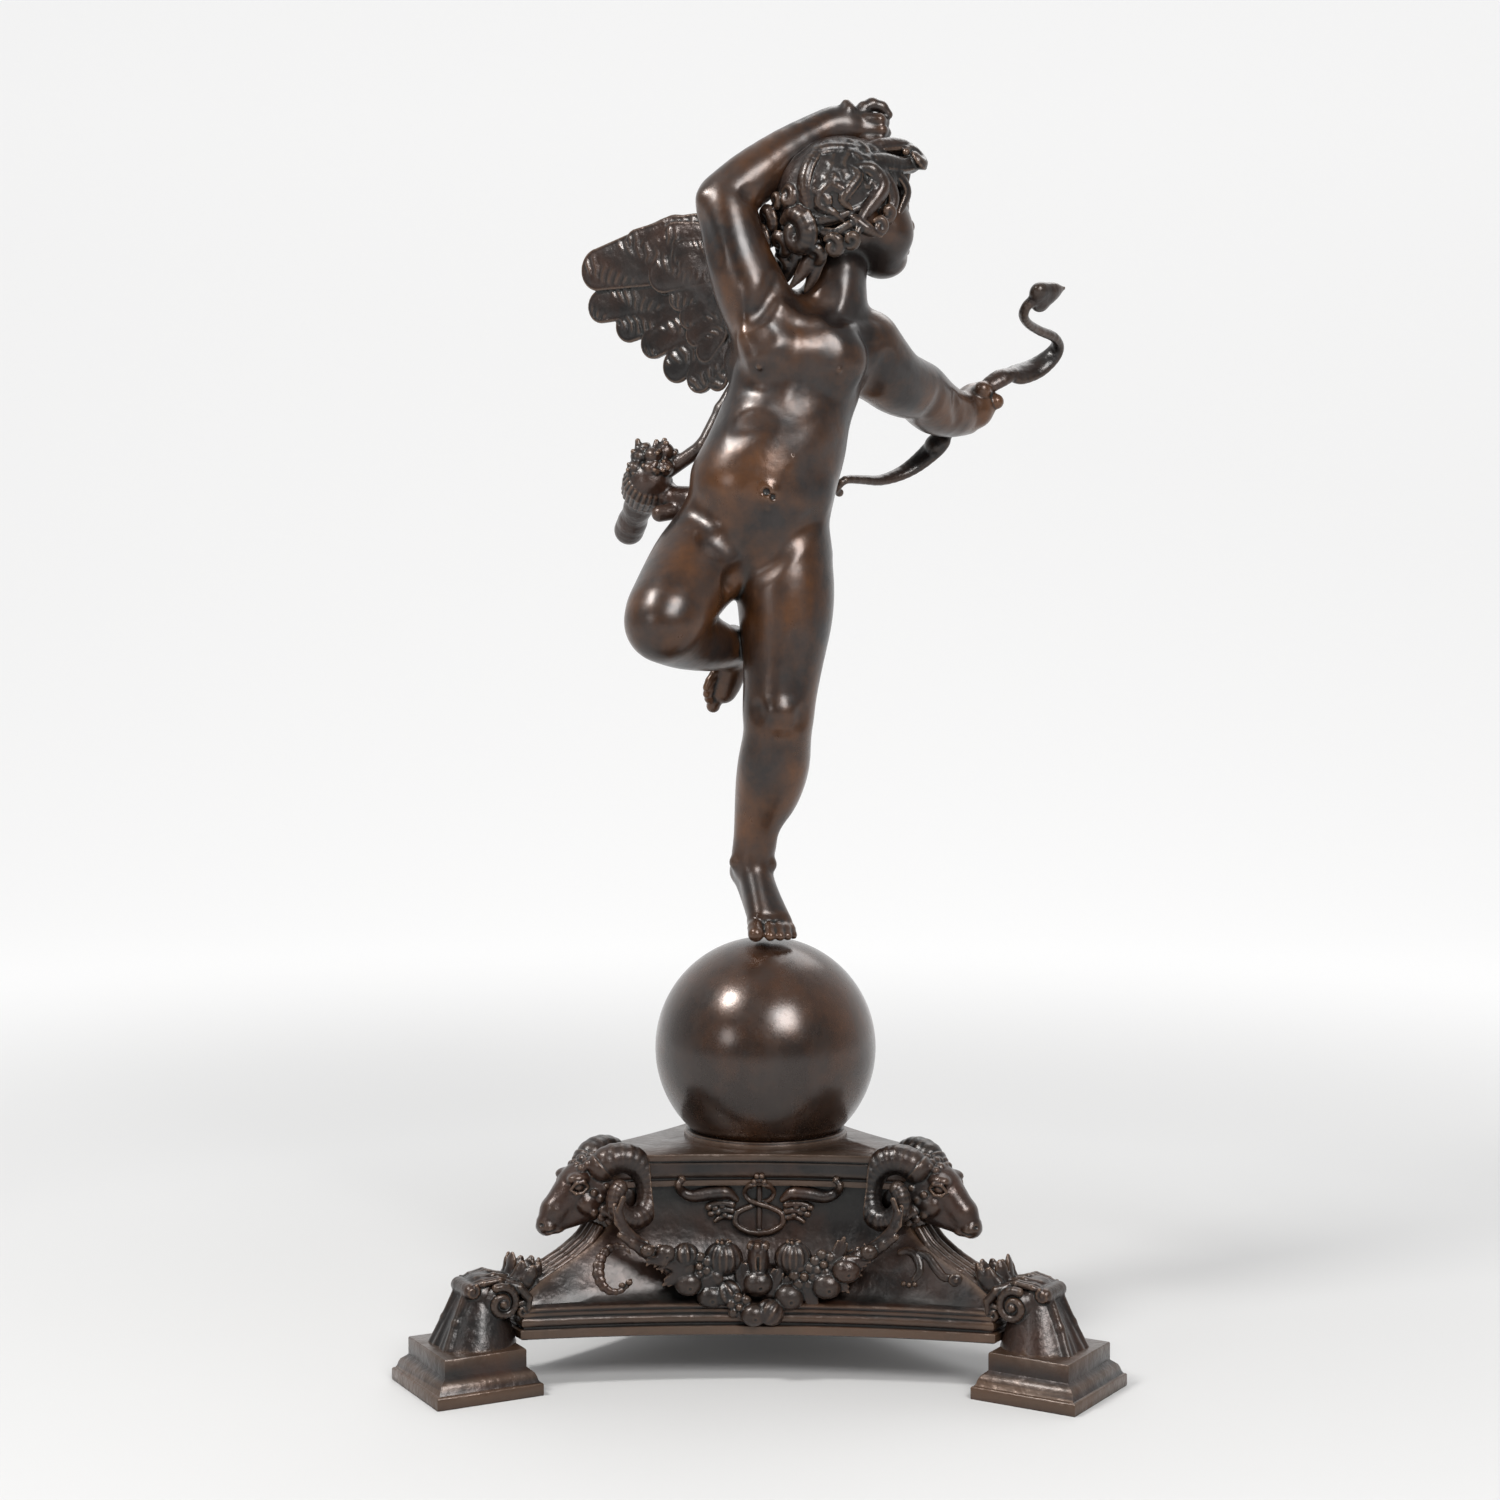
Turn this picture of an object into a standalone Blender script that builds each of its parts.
"""Bronze statue of a running cupid on a ball, on a three-legged plinth.

Four solids: the plinth, the ball, the figure and its bow. Lengths are in metres, up is +Z, and the
origin is on the floor in the middle of the space that the statue takes up. One leg points to +Y and
the figure looks towards -Y. The figure and its bow are given in hundredths of the figure's height,
measured from the top of the ball, so that they keep their proportions when that height changes.
"""
import math

import bmesh
import bpy
from mathutils import Matrix, Vector

# driving sizes
castGap = 0.0003          # clearance between pieces that touch
figureTall = 0.6230       # top of the ball to the raised finger
ballRadius = 0.0824
ballCut = 0.0222          # height of the cap taken off under the ball
ballAside = 0.0030        # the ball stands a little off the plinth's axis
seatRadius = 0.0590       # raised seat under the ball
seatTall = 0.0057
slabTop = 0.1590          # floor to the top of the slab
slabSide = 0.0720         # axis to the middle of a hollowed side
slabReach = 0.1390        # axis to a cut-off corner
slabTip = 0.0306          # width of a cut-off corner
corniceTall = 0.0250      # mouldings under the slab
corniceStep = 0.0110      # how far the mouldings stand out over the wall
frameLow = 0.0340         # floor to the underside of the lower frame
frameTall = 0.0225
frameSide = 0.1030        # axis to the middle of the frame's side
frameOver = 0.0067        # how far the end of a frame arm runs into its knee scroll
frameTip = 0.0420
frameStep = 0.0070        # depth of the frame's mouldings
legReach = 0.2785         # axis to the outer face of a foot pad
padLong = 0.0801
padWide = 0.0882
padTall = 0.0324
padStep = 0.0092          # how far the pad's skirt stands out
hoofTop = 0.0600          # height at which the hoof meets the knee scroll
kneeRadius = 0.0160
kneeWide = 0.0540
headTall = 0.0400         # brow to chin of a ram's head
garlandThick = 0.0160     # radius of a garland in its middle
garlandDrop = 0.0400      # how far a garland sags

legCount = 3
legTurn = 2 * math.pi / legCount
tipSpread = math.pi / 2 - legTurn / 2     # half the angle by which the front legs stand forward

seatTop = slabTop + seatTall
ballLow = seatTop + castGap
ballMiddle = ballLow + ballRadius - ballCut
ballTop = ballMiddle + ballRadius
figureFoot = Vector((ballAside, 0.0, ballTop))
percent = figureTall / 100

padMiddle = legReach - padLong / 2
kneeOut = padMiddle - 0.29 * padLong
kneeHigh = hoofTop - kneeRadius * 0.3
frameReach = kneeOut - kneeRadius + frameOver    # axis to the end of a frame arm

# the plinth's axis stands forward of the origin, because one leg reaches back further than the others
frontReach = legReach * math.sin(tipSpread) + padWide / 2 * math.cos(tipSpread)
axisShift = (frontReach - legReach) / 2


def clearScene():
    for item in list(bpy.data.objects):
        bpy.data.objects.remove(item, do_unlink=True)


def bronze(name, colour, rough, metal):
    material = bpy.data.materials.new(name)
    material.use_nodes = True
    shader = material.node_tree.nodes["Principled BSDF"]
    shader.inputs["Base Color"].default_value = (*colour, 1.0)
    shader.inputs["Roughness"].default_value = rough
    shader.inputs["Metallic"].default_value = metal
    return material


def newObject(name, form, parent, material=None):
    mesh = bpy.data.meshes.new(name)
    bmesh.ops.recalc_face_normals(form, faces=form.faces)
    form.to_mesh(mesh)
    form.free()
    item = bpy.data.objects.new(name, mesh)
    bpy.context.scene.collection.objects.link(item)
    item.parent = parent
    if material:
        mesh.materials.append(material)
    return item


def asCutter(item):
    item.hide_render = True
    item.display_type = "WIRE"
    return item


def addBoolean(item, name, operation, other):
    modifier = item.modifiers.new(name, "BOOLEAN")
    modifier.solver = "EXACT"
    modifier.operation = operation
    if isinstance(other, bpy.types.Collection):
        modifier.operand_type = "COLLECTION"
        modifier.collection = other
    else:
        modifier.object = other


def hull(form, points):
    corners = [form.verts.new(p) for p in points]
    result = bmesh.ops.convex_hull(form, input=corners)
    loose = {v for v in result["geom_interior"] + result["geom_unused"] if isinstance(v, bmesh.types.BMVert)}
    bmesh.ops.delete(form, geom=list(loose), context="VERTS")


def ballPoints():
    guide = bmesh.new()
    bmesh.ops.create_icosphere(guide, subdivisions=2, radius=1.0)
    points = [v.co.copy() for v in guide.verts]
    guide.free()
    return points


roundPoints = ballPoints()


def addRun(form, stations, scale, thin=None, flat=1.0):
    """A limb through (x, y, z, radius) stations, each stretch a hull around two balls."""
    for first, second in zip(stations[:-1], stations[1:]):
        points = []
        for x, y, z, radius in (first, second):
            for p in roundPoints:
                offset = p * radius
                if thin:
                    offset = offset - thin * offset.dot(thin) * (1 - flat)
                points.append((Vector((x, y, z)) + offset) * scale)
        hull(form, points)


def facing(forward, upright):
    """Turning matrix whose columns are the side, the way forward and the way up."""
    ahead = Vector(forward).normalized()
    up = Vector(upright)
    up = (up - ahead * up.dot(ahead)).normalized()
    side = ahead.cross(up)
    return Matrix((side, ahead, up)).transposed()


def addLump(form, centre, halves, scale, turn=None):
    points = []
    for p in roundPoints:
        offset = Vector((p.x * halves[0], p.y * halves[1], p.z * halves[2]))
        if turn:
            offset = turn @ offset
        points.append((Vector(centre) + offset) * scale)
    hull(form, points)


def softenClay(item, voxel, rounds, share):
    """Weld the overlapping lumps into one skin, rub it smooth and thin out its faces."""
    weld = item.modifiers.new("weld", "REMESH")
    weld.mode = "VOXEL"
    weld.voxel_size = voxel
    rub = item.modifiers.new("rub", "SMOOTH")
    rub.factor = 0.5
    rub.iterations = rounds
    thin = item.modifiers.new("thin", "DECIMATE")
    thin.ratio = share


def loft(form, rings):
    """Closed skin through rings that have the same number of points."""
    rows = [[form.verts.new(p) for p in ring] for ring in rings]
    count = len(rows[0])
    for low, high in zip(rows[:-1], rows[1:]):
        for i in range(count):
            j = (i + 1) % count
            form.faces.new((low[i], low[j], high[j], high[i]))
    form.faces.new(list(reversed(rows[0])))
    form.faces.new(rows[-1])


clearScene()
stand = bpy.data.objects.new("stand", None)
bpy.context.scene.collection.objects.link(stand)
stand.location = (0.0, axisShift, 0.0)

plinthBronze = bronze("plinthBronze", (0.060, 0.042, 0.034), 0.38, 0.75)
ballBronze = bronze("ballBronze", (0.078, 0.044, 0.030), 0.34, 0.75)
figureBronze = bronze("figureBronze", (0.085, 0.047, 0.031), 0.36, 0.75)
bowBronze = bronze("bowBronze", (0.055, 0.040, 0.033), 0.40, 0.75)


# the plinth: a three-sided block with hollowed sides, drawn out into three arms at its foot
def threeSided(height, side, reach, tip, perSide=6):
    ring = []
    halfTip = tip / 2
    across = reach * math.cos(tipSpread) - halfTip * math.sin(tipSpread)
    down = reach * math.sin(tipSpread) + halfTip * math.cos(tipSpread)
    for turn in range(legCount):
        spin = Matrix.Rotation(turn * legTurn, 3, "Z")
        for step in range(perSide + 1):
            s = 2 * step / perSide - 1
            ring.append(spin @ Vector((s * across, -(side + (down - side) * s * s), height)))
    return ring


frameTop = frameLow + frameTall
wallTop = slabTop - corniceTall
wallTall = wallTop - frameTop
wallSide = slabSide - corniceStep
wallReach = slabReach - corniceStep
wallTip = slabTip * 0.95
frameIn = frameSide - frameStep

levels = []
# lower frame: fillet, cove and torus
for rise, inset in ((0.0, 0.35), (0.12, 0.0), (0.30, 0.0), (0.42, 0.65), (0.60, 0.75), (0.70, 0.25), (0.90, 0.25), (1.0, 0.8)):
    back = inset * frameStep
    levels.append((frameLow + rise * frameTall, frameSide - back, frameReach - back, frameTip - back))
# wall: its arms sweep in and up from the frame to the slab's corners
for rise, inward in ((0.02, 0.0), (0.13, 0.12), (0.26, 0.31), (0.38, 0.55), (0.52, 0.79), (0.70, 0.95), (1.0, 1.0)):
    side = frameIn - frameStep - (frameIn - frameStep - wallSide) * inward ** 0.6
    reach = frameReach - (frameReach - wallReach) * inward
    levels.append((frameTop + rise * wallTall, side, reach, wallTip))
# mouldings under the slab
for rise, out in ((0.02, 0.45), (0.16, 0.62), (0.30, 0.42), (0.55, 0.50), (0.72, 0.85), (0.82, 1.0), (1.0, 1.0)):
    levels.append((wallTop + rise * corniceTall, wallSide + out * corniceStep, wallReach + out * corniceStep,
                   wallTip + out * (slabTip - wallTip)))

form = bmesh.new()
loft(form, [threeSided(*level) for level in levels])
bmesh.ops.remove_doubles(form, verts=form.verts, dist=0.00001)
plinth = newObject("plinth", form, stand, plinthBronze)

plinthForms = bpy.data.collections.new("plinthForms")
bpy.context.scene.collection.children.link(plinthForms)


def addToPlinth(item):
    asCutter(item)
    plinthForms.objects.link(item)
    bpy.context.scene.collection.objects.unlink(item)


form = bmesh.new()
seatDeep = corniceTall / 2
bmesh.ops.create_cone(form, cap_ends=True, segments=32, radius1=seatRadius + seatTall / 3, radius2=seatRadius,
                      depth=seatTall + seatDeep)
seat = newObject("seat", form, stand)
seat.location = (ballAside, 0.0, seatTop - (seatTall + seatDeep) / 2)
addToPlinth(seat)

def padRing(height, inset):
    x, y = padWide / 2 - inset, padLong / 2 - inset
    return [Vector((-x, padMiddle - y, height)), Vector((x, padMiddle - y, height)),
            Vector((x, padMiddle + y, height)), Vector((-x, padMiddle + y, height))]


def hoofRing(height, middle, long, wide, count=10):
    return [Vector((math.cos(2 * math.pi * i / count) * wide / 2, middle + math.sin(2 * math.pi * i / count) * long / 2,
                    height)) for i in range(count)]


for turn in range(legCount):
    spin = turn * legTurn
    label = str(turn + 1)

    form = bmesh.new()
    loft(form, [padRing(rise * padTall, inset * padStep) for rise, inset in
                ((0.0, 0.0), (0.26, 0.0), (0.34, 0.35), (0.52, 0.55), (0.62, 1.0), (1.0, 1.0))])
    pad = newObject("pad" + label, form, stand)
    pad.rotation_euler.z = spin
    addToPlinth(pad)

    form = bmesh.new()
    loft(form, [hoofRing(padTall * 0.8, padMiddle, padLong * 0.70, padWide * 0.76),
                hoofRing(padTall * 1.15, padMiddle, padLong * 0.62, padWide * 0.66),
                hoofRing(hoofTop, padMiddle - padLong * 0.14, padLong * 0.48, kneeWide * 0.70),
                hoofRing(hoofTop + kneeRadius * 0.5, padMiddle - padLong * 0.18, padLong * 0.36, kneeWide * 0.60)])
    hoof = newObject("hoof" + label, form, stand)
    hoof.rotation_euler.z = spin
    addToPlinth(hoof)

    for name, out, high, radius, wide in (("knee", kneeOut, kneeHigh, kneeRadius, kneeWide),
                                          ("scroll", kneeOut + kneeRadius * 1.3, hoofTop - kneeRadius * 0.2,
                                           kneeRadius * 0.5, kneeWide * 0.62)):
        form = bmesh.new()
        bmesh.ops.create_cone(form, cap_ends=True, segments=14, radius1=radius, radius2=radius, depth=wide,
                              matrix=Matrix.Rotation(math.pi / 2, 4, "Y"))
        bmesh.ops.translate(form, vec=(0.0, out, high), verts=form.verts)
        roll = newObject(name + label, form, stand)
        roll.rotation_euler.z = spin
        addToPlinth(roll)

    form = bmesh.new()
    bmesh.ops.create_cone(form, cap_ends=True, segments=9, radius1=kneeRadius * 0.55, radius2=kneeRadius * 0.75,
                          depth=kneeRadius * 1.5, matrix=Matrix.Rotation(-0.35, 4, "X"))
    bmesh.ops.translate(form, vec=(0.0, kneeOut - kneeRadius * 0.95, kneeHigh + kneeRadius * 1.0), verts=form.verts)
    cup = newObject("leafCup" + label, form, stand)
    cup.rotation_euler.z = spin
    addToPlinth(cup)

    # ram's head under the slab's corner, its nose pointing out and down
    h = headTall
    out, high = slabReach, wallTop
    form = bmesh.new()
    addRun(form, [(0, out - 0.62 * h, high - 0.35 * h, 0.50 * h), (0, out + 0.08 * h, high - 0.08 * h, 0.50 * h)], 1)
    addRun(form, [(0, out + 0.22 * h, high - 0.05 * h, 0.44 * h), (0, out + 0.62 * h, high - 0.34 * h, 0.34 * h),
                  (0, out + 0.98 * h, high - 0.62 * h, 0.22 * h)], 1)
    for hand in (-1, 1):
        curl = []
        for step in range(9):
            angle = math.radians(125 - step * 38)
            curl.append((hand * (0.42 + 0.02 * step) * h, out - 0.26 * h + 0.42 * h * math.cos(angle),
                         high - 0.18 * h + 0.60 * h * math.sin(angle), (0.17 - 0.008 * step) * h))
        addRun(form, curl, 1)
        addRun(form, [(hand * 0.40 * h, out - 0.18 * h, high - 0.30 * h, 0.16 * h),
                      (hand * 0.62 * h, out - 0.42 * h, high - 0.48 * h, 0.10 * h)], 1)
    head = newObject("ramHead" + label, form, stand)
    softenClay(head, headTall * 0.055, 2, 0.030)
    head.rotation_euler.z = spin
    addToPlinth(head)

    # garland hung between two heads
    form = bmesh.new()
    hang = []
    endX = slabReach * math.cos(tipSpread) - headTall * 0.55
    for step in range(11):
        s = step / 5 - 1
        thick = garlandThick * (0.36 + 0.64 * (1 - abs(s) ** 1.6))
        lift = garlandDrop * s * s
        hang.append((s * endX, -(wallSide + garlandThick * 1.35 + (slabReach * 0.17) * s * s),
                     frameTop + garlandThick * 0.62 + lift, thick))
    addRun(form, hang, 1)
    for s, size in ((-0.55, 0.62), (-0.2, 0.8), (0.1, 0.85), (0.45, 0.7)):
        x, y, z, thick = hang[round((s + 1) * 5)]
        addLump(form, (x, y - thick * 0.45, z + thick * 0.3), (size * garlandThick,) * 3, 1)
    garland = newObject("garland" + label, form, stand)
    softenClay(garland, garlandThick * 0.17, 2, 0.029)
    garland.rotation_euler.z = spin
    addToPlinth(garland)

addBoolean(plinth, "join", "UNION", plinthForms)


# the ball, cut flat where it sits on its seat
def ballForm(radius):
    form = bmesh.new()
    bmesh.ops.create_uvsphere(form, u_segments=28, v_segments=16, radius=radius)
    return form


form = ballForm(ballRadius)
bmesh.ops.bisect_plane(form, geom=form.verts[:] + form.edges[:] + form.faces[:], dist=0.000001,
                       plane_co=(0, 0, ballLow - ballMiddle), plane_no=(0, 0, -1), clear_outer=True)
rim = [e for e in form.edges if e.is_boundary]
bmesh.ops.holes_fill(form, edges=rim, sides=0)
ball = newObject("ball", form, stand, ballBronze)
ball.location = (ballAside, 0.0, ballMiddle)

ballSpace = newObject("ballSpace", ballForm(ballRadius + castGap), stand)
ballSpace.location = ball.location
asCutter(ballSpace)

# the figure, in hundredths of its height
chest = facing((0.407, -0.914, 0.05), (0.62, -0.04, 1.65))
belly = facing((0.22, -0.97, 0.0), (0.32, 0.0, 1.0))
hips = facing((0.08, -1.0, 0.0), (0.25, 0.0, 1.0))
gaze = facing((0.86, 0.50, 0.18), (0.0, 0.0, 1.0))

torso = (
    ((3.7, 0.6, 66.6), (7.9, 6.4, 9.6), chest),       # rib cage
    ((1.6, 0.0, 58.9), (8.0, 6.4, 6.7), belly),       # waist
    ((-0.5, -0.3, 53.4), (8.7, 6.9, 6.7), belly),     # belly
    ((-1.3, 1.0, 48.3), (8.7, 6.4, 5.5), hips),       # hips
    ((0.8, -4.2, 69.8), (4.3, 2.6, 3.7), chest),      # breast muscles
    ((7.9, -3.0, 69.1), (4.3, 2.6, 3.7), chest),
    ((3.0, 5.5, 45.7), (5.0, 4.5, 5.1), None),        # seat muscles
    ((-5.3, 5.5, 47.0), (5.0, 4.5, 5.1), None),
)
limbs = (
    ((1.1, 2.2, 73.9, 3.7), (11.7, 4.5, 71.4, 3.5)),                                             # collar
    ((-1.1, 3.9, 68.7, 4.0), (9.1, 6.7, 68.7, 3.5)),                                             # shoulder blades
    ((7.5, 2.2, 73.3, 4.3), (8.1, 2.2, 75.4, 3.5), (8.5, 2.2, 79.3, 3.5)),                       # neck
    ((-0.5, -1.6, 73.9, 4.2), (-3.0, -2.4, 79.9, 3.5), (-4.3, -1.9, 85.2, 3.0), (-5.1, -1.3, 87.4, 2.7)),
    ((-5.0, -1.3, 87.4, 2.7), (-1.6, -0.3, 90.0, 3.0), (2.8, 1.3, 93.5, 2.5), (7.3, 2.9, 96.3, 2.0),
     (9.5, 3.2, 96.7, 2.0)),                                                                     # raised forearm
    ((12.0, 4.5, 70.1, 4.2), (15.4, 9.0, 66.6, 3.4), (18.7, 13.8, 66.5, 2.9)),
    ((18.7, 13.8, 66.5, 2.9), (20.9, 18.0, 64.8, 3.0), (24.5, 22.2, 64.3, 2.1)),                 # bow forearm
    ((2.2, 0.6, 45.1, 5.5), (2.4, 0.0, 39.0, 5.2), (2.1, -0.6, 33.3, 4.3), (1.6, -1.1, 28.0, 3.8),
     (1.5, -1.4, 24.8, 3.5)),                                                                    # standing thigh
    ((1.5, -1.3, 24.8, 3.5), (1.0, -0.3, 21.0, 3.9), (0.2, 1.0, 17.4, 3.5), (-0.8, 1.8, 14.2, 2.6),
     (-1.4, 2.1, 10.7, 2.2), (-1.8, 2.2, 8.5, 2.0)),                                             # standing calf
    ((-6.4, 0.3, 46.7, 5.5), (-9.0, -3.5, 42.8, 5.0), (-10.9, -7.4, 39.3, 4.5), (-11.7, -8.8, 37.5, 4.1)),
    ((-11.6, -8.3, 37.4, 3.9), (-9.6, -4.8, 36.2, 3.6), (-6.6, -1.0, 35.1, 2.9), (-4.0, 3.2, 34.5, 2.0)),
    ((-1.6, 2.2, 8.8, 2.0), (-2.6, 4.8, 7.7, 1.7)),                                              # heel off the ball
    ((-1.6, 1.6, 8.1, 1.9), (-0.5, -2.2, 2.6, 1.5)),
    ((-1.3, 1.9, 7.8, 1.6), (0.9, -1.9, 2.4, 1.4)),
    ((-2.6, 4.5, 7.2, 1.5), (-0.6, -1.6, 1.8, 1.4)),
    ((-0.6, -2.2, 1.3, 1.3), (-0.6, -4.4, 0.5, 1.1)),                                            # toes
    ((1.0, -1.9, 1.3, 1.3), (1.3, -4.0, 0.5, 1.0)),
    ((1.9, -1.6, 1.4, 1.1), (2.7, -3.0, 0.6, 0.9)),
    ((-4.0, 3.2, 34.3, 2.0), (-2.6, 5.5, 33.3, 1.8)),                                            # lifted foot
    ((-4.1, 4.2, 35.6, 1.8), (-5.4, 5.5, 30.9, 1.4)),
    ((-3.5, 5.5, 34.3, 1.4), (-4.7, 5.8, 30.2, 1.3)),
    ((-4.4, 5.5, 31.9, 1.8), (-5.2, 5.5, 29.2, 1.4)),
    ((-5.4, 5.5, 30.2, 1.4), (-6.5, 5.8, 27.5, 1.0)),
    ((-6.1, 5.1, 31.3, 1.1), (-6.9, 5.1, 29.3, 0.9)),
)
raisedHand = (
    ((9.5, 3.2, 96.4, 1.9), (11.6, 3.9, 96.5, 1.8)),
    ((9.9, 3.2, 97.6, 0.7), (9.5, 3.2, 98.7, 0.6)),                                              # thumb
    ((10.3, 3.5, 98.0, 0.8), (12.0, 4.2, 99.6, 0.6), (13.4, 4.5, 99.3, 0.6), (14.1, 4.8, 98.4, 0.5)),
    ((12.6, 3.9, 97.8, 1.0), (13.4, 4.4, 97.4, 0.9)),                                            # bent fingers
    ((12.6, 3.9, 96.7, 1.0), (13.6, 4.4, 96.4, 0.9)),
    ((12.5, 4.0, 95.6, 1.0), (13.5, 4.5, 95.3, 0.9)),
    ((12.4, 4.1, 94.8, 0.9), (13.2, 4.6, 94.5, 0.8)),
)
head = (
    ((8.8, 1.8, 87.7), (6.4, 7.2, 6.6), gaze),        # skull
    ((12.7, 4.0, 85.2), (5.3, 3.9, 5.8), gaze),       # face
    ((14.3, 5.0, 80.8), (2.6, 2.4, 1.9), gaze),       # chin
    ((14.6, 1.8, 83.7), (2.9, 2.7, 2.9), gaze),       # cheeks
    ((11.7, 6.8, 83.7), (2.9, 2.7, 2.9), gaze),
    ((15.7, 5.8, 86.3), (0.8, 0.9, 1.2), gaze),       # nose
    ((8.1, 1.4, 88.5), (6.9, 7.4, 6.4), gaze),        # hair over the crown
    ((16.5, 3.4, 92.5), (1.9, 1.8, 1.8), None),       # forelock
    ((14.5, 3.9, 92.5), (1.9, 2.4, 1.9), None),
    ((12.3, 1.6, 92.4), (1.6, 1.6, 1.6), None),
)
curls = (
    (14.1, 0.0, 88.6, 1.3), (15.3, 0.6, 87.8, 1.3), (13.4, -2.6, 85.4, 1.3), (12.2, -3.5, 83.3, 1.4),
    (9.9, -3.9, 82.3, 1.4), (8.5, -3.5, 81.4, 1.3), (5.8, -2.2, 82.1, 1.6), (4.1, -1.0, 83.2, 1.8),
    (2.0, 0.3, 83.3, 1.8), (2.9, 0.0, 85.8, 1.8), (0.7, 0.6, 85.3, 1.4), (0.2, 1.3, 83.2, 1.4),
    (4.0, 1.0, 88.6, 1.3), (4.8, -1.9, 85.1, 1.4), (5.8, 1.0, 90.0, 1.3), (4.1, -0.3, 81.0, 1.4),
    (4.8, 0.3, 79.4, 1.4), (2.8, 1.6, 77.7, 1.4), (3.8, 2.2, 77.0, 1.6),
)
# each feather of the right wing: root (along, up, radius) and tip, from the wing's own root
feathers = (
    ((1.5, 1.8, 4.5), (16.2, 1.5, 3.1)), ((2.7, 3.7, 2.4), (9.3, 3.9, 2.2)), ((2.3, -2.7, 2.6), (16.9, -3.2, 2.2)),
    ((1.6, -5.2, 2.4), (12.4, -6.5, 2.1)), ((1.3, -7.6, 2.2), (7.3, -9.1, 1.9)), ((0.5, -9.5, 2.2), (3.2, -12.0, 2.1)),
    ((-1.0, -11.0, 2.4), (-0.1, -14.1, 1.7)), ((1.0, -3.4, 3.5), (7.8, -1.8, 2.6)),
)
wings = (
    ((-6.8, 7.2, 81.3), (-0.844, 0.536, 0.0), (-1.8, 6.4, 73.0, 2.4), (-8.2, 8.3, 80.3, 1.9)),
    ((7.6, 15.2, 81.6), (0.10, 0.995, 0.0), (5.0, 8.6, 73.0, 2.4), (7.4, 16.4, 80.6, 1.9)),
)
wingFlat = 0.28
quiver = (
    ((-17.2, 13.5, 49.1, 1.6), (-14.4, 5.5, 54.8, 2.1)),                                         # tube
    ((-14.8, 6.5, 54.1, 2.3), (-14.3, 5.1, 55.1, 3.0)),                                          # flared mouth
    ((-14.4, 7.2, 52.9, 1.4), (-8.8, 3.5, 52.1, 1.9)),                                           # lug on the hip
    ((-7.9, 3.5, 51.5, 1.0), (-12.8, 3.2, 50.7, 1.0)),
    ((-13.8, 5.4, 54.6, 0.9), (-7.6, 4.0, 58.8, 0.9), (-5.4, 4.9, 63.2, 0.9), (-2.0, 5.6, 69.0, 0.9)),  # strap
    ((-15.2, 3.5, 58.6, 1.1), (-13.9, 3.2, 57.6, 1.0), (-12.5, 3.9, 58.8, 1.1), (-11.4, 4.5, 57.9, 1.0)),
    ((-15.9, 3.6, 56.3, 1.1), (-13.4, 3.2, 56.9, 1.2), (-11.8, 3.9, 55.9, 1.1)),                 # arrow ends
)
gripSpot = Vector((25.7, 23.3, 65.4))
bowUp = Vector((0.746, 0.0, 0.666))
bowOut = Vector((0.353, 0.849, -0.394))
bowWide = bowUp.cross(bowOut).normalized()

form = bmesh.new()
for centre, halves, turn in torso + head:
    addLump(form, centre, halves, percent, turn)
for run in limbs + raisedHand + quiver:
    addRun(form, run, percent)
for x, y, z, radius in curls:
    addLump(form, (x, y, z), (radius,) * 3, percent)
for root, way, stumpStart, stumpEnd in wings:
    along = Vector(way).normalized()
    thin = along.cross(Vector((0, 0, 1)))
    for (alongA, upA, radiusA), (alongB, upB, radiusB) in feathers:
        ends = [(*(Vector(root) + along * reach + Vector((0, 0, up))), radius)
                for reach, up, radius in ((alongA, upA, radiusA), (alongB, upB, radiusB))]
        addRun(form, ends, percent, thin, wingFlat)
    addRun(form, [stumpStart, stumpEnd], percent)
# the hand closed around the bow's grip
addLump(form, gripSpot - Vector((0, 0, 0.4)), (2.4, 2.2, 2.3), percent)
for place in (-1.8, -0.6, 0.6, 1.8):
    knuckle = gripSpot + bowUp * place + bowOut * 0.5 - bowWide * 1.9
    front = gripSpot + bowUp * place + bowOut * 1.9 - bowWide * 0.3
    end = gripSpot + bowUp * place + bowOut * 1.1 + bowWide * 1.6
    addRun(form, [(*knuckle, 0.8), (*front, 0.8), (*end, 0.75)], percent)
figure = newObject("figure", form, stand, figureBronze)
figure.location = figureFoot
softenClay(figure, percent * 0.50, 3, 0.051)

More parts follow.
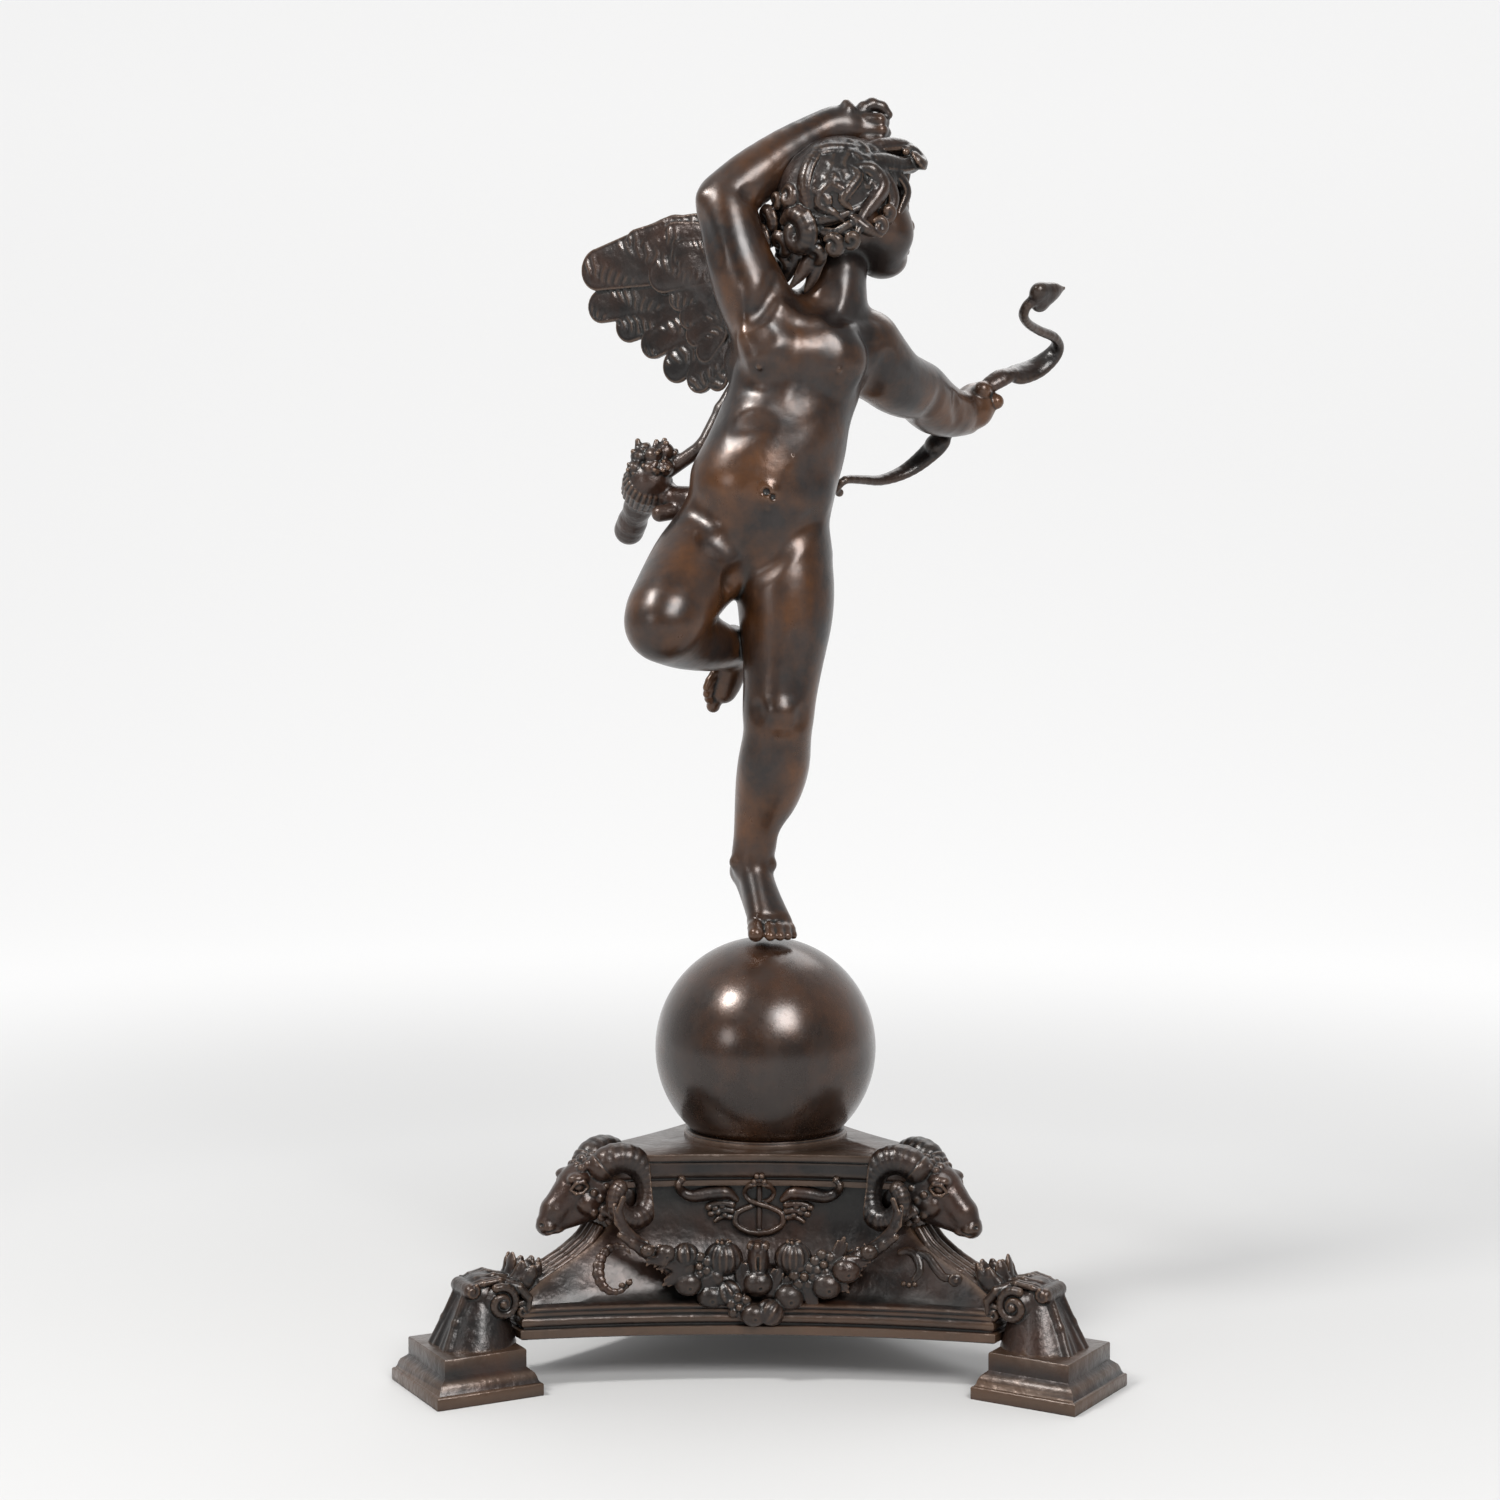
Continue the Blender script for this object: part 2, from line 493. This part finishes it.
# the bow: a flat band swept through its plane, (along, out, half thickness, half width)
bowLine = (
    (-20.3, -4.8, 0.20, 0.25), (-20.2, -5.9, 0.40, 0.45), (-18.7, -6.1, 0.48, 0.56), (-17.0, -3.5, 0.55, 0.63),
    (-15.3, -0.7, 0.61, 0.74), (-12.8, 1.3, 0.67, 0.98), (-10.2, 2.1, 0.72, 1.26), (-7.5, 2.1, 0.74, 1.47),
    (-6.3, 1.9, 0.80, 1.33), (-5.2, 1.5, 0.80, 0.91), (-2.6, 0.6, 0.80, 0.84), (0.0, 0.0, 0.80, 0.84),
    (2.5, -0.3, 0.80, 0.91), (4.7, 0.2, 0.80, 1.19), (6.0, 1.5, 0.80, 1.00), (6.6, 2.4, 0.80, 1.54),
    (9.1, 4.2, 0.74, 1.45), (11.6, 4.5, 0.71, 1.20), (13.1, 3.5, 0.64, 1.00), (13.2, 1.3, 0.61, 0.85),
    (12.1, -1.8, 0.58, 0.76), (11.3, -4.8, 0.56, 0.74), (11.3, -6.9, 0.56, 0.72), (12.2, -8.0, 0.55, 0.66),
    (13.2, -8.0, 0.62, 0.72), (13.5, -7.7, 1.10, 1.95), (14.7, -6.9, 1.25, 1.80), (16.0, -6.0, 0.80, 1.05),
    (17.0, -5.3, 0.15, 0.20),
)


def bowForm(grow, sides=8):
    form = bmesh.new()
    places = [gripSpot + bowUp * along + bowOut * out for along, out, _, _ in bowLine]
    rings = []
    for i, (_, _, thick, wide) in enumerate(bowLine):
        way = (places[min(i + 1, len(places) - 1)] - places[max(i - 1, 0)]).normalized()
        flat = way.cross(bowWide).normalized()
        rings.append([places[i] * percent
                      + flat * (thick * percent + grow) * math.cos(2 * math.pi * k / sides)
                      + bowWide * (wide * percent + grow) * math.sin(2 * math.pi * k / sides) for k in range(sides)])
    loft(form, rings)
    return form


bow = newObject("bow", bowForm(0.0), stand, bowBronze)
bow.location = figureFoot
bowSpace = newObject("bowSpace", bowForm(castGap * 1.4), stand)
bowSpace.location = figureFoot
asCutter(bowSpace)

addBoolean(figure, "standOnBall", "DIFFERENCE", ballSpace)
addBoolean(figure, "holdBow", "DIFFERENCE", bowSpace)

for item in (ball, figure, bow):
    item.data.shade_smooth()
    item.data.set_sharp_from_angle(angle=math.radians(50))
